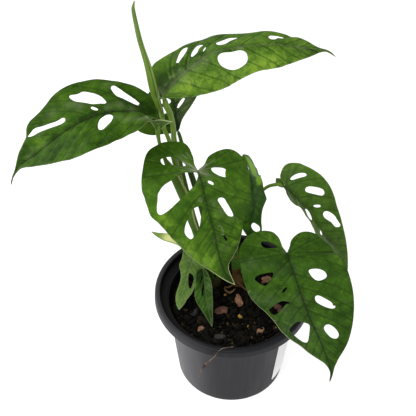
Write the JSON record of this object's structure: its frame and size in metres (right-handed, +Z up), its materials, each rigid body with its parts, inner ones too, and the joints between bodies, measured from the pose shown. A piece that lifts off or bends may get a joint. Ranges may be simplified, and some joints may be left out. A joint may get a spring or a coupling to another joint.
{
  "type": "potted monstera obliqua expilata house plant",
  "caption": "Young climbing aroid with pierced heart-shaped leaves on slender upright stalks, growing in bark mix in a squat round nursery pot with a rolled rim.",
  "frame": {"origin": "centre of the pot's underside, on the surface that it stands on", "axes": "+Z up; the front of the plant, the side seen in the picture, faces -Y; +X to the right"},
  "size_m": [0.2617, 0.2175, 0.3501],
  "materials": {
    "pot_plastic": "dark charcoal moulded plastic, satin",
    "label_paper": "smooth white coated paper, blank",
    "potting_mix": "damp dark peat and fine bark",
    "stem": "green-brown ringed stem",
    "stem_brown": "green top over a brown corky base",
    "leaf": "soft satin leaf with sunken veins",
    "stalk": "smooth satin leaf stalk",
    "new_leaf": "tightly rolled young leaf, yellow-green",
    "sheath": "pale drying sheath leaf",
    "dry_root": "thin dry brown root",
    "bark": "rough bark chip",
    "pellet": "smooth coated feed pellet"
  },
  "bodies": {
    "root": {"pot": "pot_plastic", "pot_label": "label_paper", "soil": "potting_mix", "stem_base_main": "stem", "stem_base_side": "stem_brown", "leaf_1": "leaf", "leaf_2": "leaf", "leaf_3": "leaf", "leaf_4": "leaf", "leaf_5": "leaf", "leaf_6": "leaf", "leaf_7": "leaf", "leaf_8": "leaf", "leaf_9": "leaf", "petiole_1": "stalk", "petiole_2": "stalk", "petiole_3": "stalk", "petiole_4": "stalk", "petiole_5": "stalk", "petiole_6": "stalk", "petiole_7": "stalk", "petiole_8": "stalk", "petiole_9": "stalk", "new_leaf_roll": "new_leaf", "sheath_leaf": "sheath", "aerial_root": "dry_root", "bark_chip_1": "bark", "bark_chip_2": "bark", "bark_chip_3": "bark", "bark_chip_4": "bark", "bark_chip_5": "bark", "bark_chip_6": "bark", "bark_chip_7": "bark", "bark_chip_8": "bark", "bark_chip_9": "bark", "bark_chip_10": "bark", "bark_chip_11": "bark", "bark_chip_12": "bark", "feed_pellet_1": "pellet", "feed_pellet_2": "pellet", "feed_pellet_3": "pellet"}
  },
  "joints": []
}
